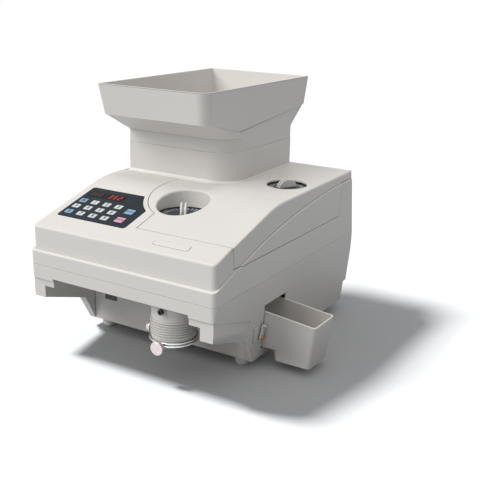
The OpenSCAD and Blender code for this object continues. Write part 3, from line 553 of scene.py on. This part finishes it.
# Pieces drawn from outlines
def solid_piece(name, verts, faces, mat, slot, node, smooth=False):
    mesh = bpy.data.meshes.new(name)
    mesh.from_pydata(verts, [], faces)
    mesh.polygons.foreach_set("use_smooth", [smooth] * len(mesh.polygons))
    if smooth:
        mesh.set_sharp_from_angle(angle=math.radians(40))
    ob = bpy.data.objects.new(name, mesh)
    bpy.context.scene.collection.objects.link(ob)
    dress(ob, mat)
    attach(ob, body_of[node])
    return ob


def round_outline(x0, x1, y0, y1, radii, steps=8):
    turn = math.pi / 2 / steps
    points = []
    for k, r in enumerate(radii):
        cx = x1 - r if k in (0, 1) else x0 + r
        cy = y0 + r if k in (0, 3) else y1 - r
        for i in range(steps + 1):
            angle = (k - 1) * math.pi / 2 + i * turn
            points.append((cx + r * math.cos(angle), cy + r * math.sin(angle)))
    return points


def ribbon(name, outer, inner, z0, z1, mat, slot, node):
    n = len(outer)
    rings = ((outer, z0), (outer, z1), (inner, z1), (inner, z0))
    verts = [at(x, y, z) for ring, z in rings for x, y in ring]
    faces = []
    for k in range(4):
        j = (k + 1) % 4
        faces += [(k * n + i, k * n + (i + 1) % n, j * n + (i + 1) % n, j * n + i) for i in range(n)]
    return solid_piece(name, verts, faces, mat, slot, node)


def plates(name, quads, depth, mat, slot, node):
    verts = []
    faces = []
    for quad in quads:
        a, b, c, d = quad
        under = (b - a).cross(d - a).normalized() * depth / MM
        k = len(verts)
        verts += [a, b, c, d] + [v - under for v in quad]
        faces += [(k, k + 1, k + 2, k + 3), (k + 7, k + 6, k + 5, k + 4)]
        faces += [(k + i, k + 4 + i, k + 4 + (i + 1) % 4, k + (i + 1) % 4) for i in range(4)]
    return solid_piece(name, verts, faces, mat, slot, node)


# Dark faces inside the joints and the hopper's crease, painted shade, so that each joint reads as a line
seam = [round_outline(-HALF + g, HALF - g, g, DEPTH - g, (CORNER - g,) * 4) for g in (0.2, 0.7)]
ribbon("seam_shadow", *seam, SEAM_Z - 0.05, SEAM_Z + 0.85, GLOOM, "black", "lower_housing")
GAP_SIDE = ((64.5, 168.2), (350.4, 168.2), (350.4, 168.95), (64.5, 168.95))
plates("cover_gap_shadow", [[at(HALF - 0.4, *v) for v in GAP_SIDE]], 0.2, GLOOM, "black", "upper_housing")


def collar_outline(g):
    (x0, x1), (y0, y1) = COLLAR["x"], COLLAR["y"]
    return round_outline(x0 + g, x1 - g, y0 + g, y1 - g, [r - g for r in COLLAR["corners"]])


collar = [collar_outline(g) for g in (0.2, 0.6)]
ribbon("collar_joint_shadow", *collar, COLLAR["top"] - 0.55, COLLAR["top"], SHADE, "black", "hopper")
CREASE = ((234.0, 305.2), (428.0, 324.8), (428.0, 325.8), (234.0, 306.2))
plates("hopper_crease_shadow", [[at(44.45, *v) for v in CREASE]], 0.2, SHADE, "casing", "hopper")
# Dark green face in the tray's slot
TRAY_SLOT = ((-114.6, 50.4), (-92.4, 50.4), (-92.4, 58.6), (-114.6, 58.6))
plates("tray_slot_face", [[at(x, 110.4, z) for x, z in TRAY_SLOT]], 0.1, SLOT, "black", "base_tray")


# Fillet at the foot of the collar, its radius at each corner's two ends from the front right one on
FOOT = ((4.0, 1.2), (1.2, 0.8), (0.8, 1.8), (1.8, 4.0))


def foot_section(base, out, size, steps=6):
    section = []
    for j in range(steps + 1):
        turn = math.pi / 2 * j / steps
        reach = size * (1 - math.cos(turn)) - (0.05 if j == 0 else 0.0)
        rise = size * (1 - math.sin(turn)) - (0.03 if j == steps else 0.0)
        section.append((reach, rise))
    section.append((-0.4, -0.4))
    points = []
    for reach, rise in section:
        x, y = base[0] + out[0] * reach, base[1] + out[1] * reach
        points.append(at(x, y, roof_z(y) + rise))
    return points


def collar_foot(steps=16):
    sections = []
    (x0, x1), (y0, y1) = COLLAR["x"], COLLAR["y"]
    for k, r in enumerate(COLLAR["corners"]):
        cx = x1 - r if k in (0, 1) else x0 + r
        cy = y0 + r if k in (0, 3) else y1 - r
        for i in range(steps + 1):
            angle = (k - 1 + i / steps) * math.pi / 2
            out = (math.cos(angle), math.sin(angle))
            size = FOOT[k][0] + (FOOT[k][1] - FOOT[k][0]) * i / steps
            sections.append(foot_section((cx + r * out[0], cy + r * out[1]), out, size))
    n = len(sections)
    m = len(sections[0])
    verts = [v for section in sections for v in section]
    faces = []
    for i in range(n):
        for j in range(m):
            a, b = i * m, (i + 1) % n * m
            faces.append((a + j, b + j, b + (j + 1) % m, a + (j + 1) % m))
    return solid_piece("collar_foot_fillet", verts, faces, FINISH["casing"], slots["lid"], "lid", True)


collar_foot()


# Spring clamp as a round wire on its winding
CLAMP = {"centre": (60.0, 46.0), "r": 32.7, "z": 53.3, "pitch": 4.1, "from": -81.0, "to": 522.0, "wire": 1.6}
FRONT_END = ((7, 7.0, -1.0), (7, 5.0, -1.0), (7, 3.4, -1.0), (6, 1.6, -0.6), (3, 0.5, -0.2))
REAR_END = (
    (3, 0.5, 0.2), (6, 2.2, 0.1), (7, 4.4, -0.6), (7, 5.5, -1.8), (7, 5.9, -3.1),
    (7, 6.9, -4.1), (7, 8.6, -4.5), (7, 10.4, -4.5), (7, 12.0, -4.5),
)


def clamp_point(degrees, out, z):
    angle = math.radians(degrees)
    r = CLAMP["r"] + out
    return at(CLAMP["centre"][0] + r * math.cos(angle), CLAMP["centre"][1] + r * math.sin(angle), z)


def clamp_route():
    route = [clamp_point(CLAMP["from"] - a, out, CLAMP["z"] + dz) for a, out, dz in FRONT_END]
    span = CLAMP["to"] - CLAMP["from"]
    steps = 132
    for i in range(steps + 1):
        turned = span * i / steps
        route.append(clamp_point(CLAMP["from"] + turned, 0.0, CLAMP["z"] + CLAMP["pitch"] * turned / 360))
    top = CLAMP["z"] + CLAMP["pitch"] * span / 360
    route += [clamp_point(CLAMP["to"] + a, out, top + dz) for a, out, dz in REAR_END]
    return route


def round_wire(name, route, r, mat, slot, node, sides=12):
    verts = []
    faces = []
    for i, p in enumerate(route):
        along = (route[min(i + 1, len(route) - 1)] - route[max(i - 1, 0)]).normalized()
        across = along.cross(Vector((0.0, 0.0, 1.0))).normalized()
        over = across.cross(along)
        for k in range(sides):
            angle = 2 * math.pi * k / sides
            verts.append(p + (across * math.cos(angle) + over * math.sin(angle)) * r / MM)
    for i in range(len(route) - 1):
        for k in range(sides):
            j = (k + 1) % sides
            faces.append((i * sides + k, i * sides + j, (i + 1) * sides + j, (i + 1) * sides + k))
    faces.append(tuple(range(sides))[::-1])
    faces.append(tuple((len(route) - 1) * sides + k for k in range(sides)))
    return solid_piece(name, verts, faces, mat, slot, node, True)


CHROME = FINISH["chrome"]
wire = round_wire("clamp_wire", clamp_route(), CLAMP["wire"], CHROME, slots["bag_clamp"], "bag_clamp")
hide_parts("bag_clamp")


# Printed and lit marks
def slope_bar(x, y, lift, u0, u1, v0, v1, lean=0.0):
    flat = math.cos(SLOPE)
    corners = ((u0, v0), (u1, v0), (u1, v1), (u0, v1))
    return [on_slope(x + u + lean * v, y + v * flat, lift) for u, v in corners]


# Bars of a lit figure, each as left, right, low and high shares of its box
STROKES = {
    "a": (0.12, 0.88, 0.88, 1.0),
    "b": (0.84, 1.0, 0.54, 0.96),
    "c": (0.84, 1.0, 0.04, 0.46),
    "d": (0.12, 0.88, 0.0, 0.12),
    "e": (0.0, 0.16, 0.04, 0.46),
    "f": (0.0, 0.16, 0.54, 0.96),
    "g": (0.12, 0.88, 0.44, 0.56),
}
FIGURES = {"2": "abged", "3": "abgcd", "5": "afgcd", "8": "abcdefg"}
LEAN = 0.12
FIGURE_Y = 102.0
FIGURE_LIFT = 0.54


def lit_row(signs, x, pitch, wide, tall):
    bars = []
    for i, sign in enumerate(signs):
        for name in FIGURES[sign]:
            u0, u1, v0, v1 = [share - 0.5 for share in STROKES[name]]
            box = (u0 * wide, u1 * wide, v0 * tall, v1 * tall)
            bars.append(slope_bar(x + pitch * i, FIGURE_Y, FIGURE_LIFT, *box, LEAN))
    return bars


def key_legend(key, word, x, y, tall):
    name = key + "_legend"
    curve = bpy.data.curves.new(name, "FONT")
    curve.body = word
    curve.size = tall / MM
    curve.offset = tall / 40.0 / MM
    curve.extrude = 0.05 / MM
    curve.align_x = "CENTER"
    curve.align_y = "CENTER"
    ob = bpy.data.objects.new(name, curve)
    bpy.context.scene.collection.objects.link(ob)
    ob.matrix_world = Matrix.Translation(on_slope(x, y, KEY_TOP)) @ Matrix.Rotation(SLOPE, 4, "X")
    dress(ob, LEGEND)
    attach(ob, body_of[key])


KEY_TOP = 1.0
KEY_COLUMNS = (-125.5, -104.0, -82.2, -60.8)
KEY_ROWS = (81.5, 66.0, 50.5)
SMALL_KEYS = (
    ("key_mode", "M"), ("key_1", "1"), ("key_2", "2"), ("key_3", "3"),
    ("key_add", "+"), ("key_4", "4"), ("key_5", "5"), ("key_6", "6"),
    ("key_batch", "B"), ("key_7", "7"), ("key_8", "8"), ("key_9", "9"),
)
for place, (key, sign) in enumerate(SMALL_KEYS):
    key_legend(key, sign, KEY_COLUMNS[place % 4], KEY_ROWS[place // 4], 8.4)
for key, y, word in (("key_start", 75.5, "START"), ("key_clear", 53.5, "CLEAR")):
    key_legend(key, word, -36.0, y, 4.3)

lit = lit_row("352", -92.0, 8.4, 5.0, 9.0)
plates("display_lit_digits", lit, 0.1, DIGIT, "display", "display_windows")
dim = lit_row("888", -125.0, 7.4, 4.6, 8.6)
plates("display_dim_digits", dim, 0.1, DIM, "display", "display_windows")
pilots = [slope_bar(-56.0, 97.0 + 5.6 * i, 0.4, -3.6, 3.6, -0.8, 0.8) for i in range(3)]
plates("panel_pilot_marks", pilots, 0.1, GLOOM, "black", "keypad_panel")


# Marks round a dial, every fourth one wide
def dial_ticks(name, hole, r0, r1, count, node):
    mid = Vector((hole["x"], hole["y"], hole["dial_z"]))
    quads = []
    for i in range(count):
        angle = 2 * math.pi * i / count
        side = Vector((-math.sin(angle), math.cos(angle), 0.0)) * (0.8 if i % 4 == 0 else 0.45)
        out = Vector((math.cos(angle), math.sin(angle), 0.0))
        ring = [mid + out * r0 - side, mid + out * r1 - side, mid + out * r1 + side, mid + out * r0 + side]
        quads.append([at(*v) for v in ring])
    return plates(name, quads, 0.08, MARK, "grip", node)


dial_ticks("diameter_dial_ticks", WELL, 24.5, 33.0, 32, "diameter_dial")
dial_ticks("thickness_dial_ticks", RECESS, 20.0, 27.5, 28, "thickness_dial")


# Floor, light and world
def backdrop_rays(nodes, link):
    rays = nodes.new("ShaderNodeLightPath")
    shown = rays.outputs["Is Camera Ray"]
    for kind in ("Is Glossy Ray", "Is Transmission Ray"):
        either = nodes.new("ShaderNodeMath")
        either.operation = "MAXIMUM"
        link(shown, either.inputs[0])
        link(rays.outputs[kind], either.inputs[1])
        shown = either.outputs[0]
    return shown


def make_stage():
    mesh = bpy.data.meshes.new("floor")
    ob = bpy.data.objects.new("floor", mesh)
    bm = bmesh.new()
    bmesh.ops.create_grid(bm, x_segments=1, y_segments=1, size=6.0)
    bm.to_mesh(mesh)
    bm.free()
    mat = bpy.data.materials.new("floor_white")
    mat.use_nodes = True
    nodes = mat.node_tree.nodes
    link = mat.node_tree.links.new
    shader = nodes["Principled BSDF"]
    shader.inputs["Roughness"].default_value = 0.9
    shader.inputs["Specular IOR Level"].default_value = 0.1
    tone = nodes.new("ShaderNodeMix")
    tone.data_type = "RGBA"
    link(backdrop_rays(nodes, link), tone.inputs["Factor"])
    tone.inputs["A"].default_value = (0.27, 0.285, 0.30, 1.0)
    tone.inputs["B"].default_value = (0.80, 0.81, 0.825, 1.0)
    link(tone.outputs["Result"], shader.inputs["Base Color"])
    mesh.materials.append(mat)
    bpy.context.scene.collection.objects.link(ob)
    return ob


def make_lamp(name, heading, spread, power, colour):
    lamp = bpy.data.lights.new(name, "SUN")
    lamp.angle = math.radians(spread)
    lamp.energy = power
    lamp.color = colour
    ob = bpy.data.objects.new(name, lamp)
    bpy.context.scene.collection.objects.link(ob)
    ob.rotation_euler = Vector(heading).to_track_quat("-Z", "Y").to_euler()
    return ob


def lights_floor(lamp, floor, state):
    group = bpy.data.collections.new(lamp.name + "_floor")
    group.objects.link(floor)
    group.collection_objects[0].light_linking.link_state = state
    lamp.light_linking.receiver_collection = group


# Heading, spread in degrees, power, colour, and whether the floor is left out or is all that is lit
WARM = (1.0, 0.985, 0.955)
WHITE = (1.0, 1.0, 1.0)
LAMPS = {
    "key_lamp": ((0.6, 0.85, -0.85), 40.0, 2.0, WARM, "EXCLUDE"),
    "top_lamp": ((-0.08, 0.12, -1.0), 25.0, 0.75, WARM, "EXCLUDE"),
    "floor_lamp": ((0.71, 0.12, -1.0), 11.0, 3.75, WHITE, "INCLUDE"),
}
floor = make_stage()
for name, (heading, spread, power, colour, state) in LAMPS.items():
    lights_floor(make_lamp(name, heading, spread, power, colour), floor, state)


def make_world():
    world = bpy.data.worlds.new("studio")
    bpy.context.scene.world = world
    world.use_nodes = True
    nodes = world.node_tree.nodes
    link = world.node_tree.links.new
    shade = nodes["Background"]
    white = nodes.new("ShaderNodeBackground")
    for sky, strength in ((shade, 0.35), (white, 1.0)):
        sky.inputs["Color"].default_value = (*WHITE, 1.0)
        sky.inputs["Strength"].default_value = strength
    pick = nodes.new("ShaderNodeMixShader")
    link(backdrop_rays(nodes, link), pick.inputs["Fac"])
    link(shade.outputs["Background"], pick.inputs[1])
    link(white.outputs["Background"], pick.inputs[2])
    link(pick.outputs["Shader"], nodes["World Output"].inputs["Surface"])


make_world()
bpy.context.scene.view_settings.view_transform = "Standard"
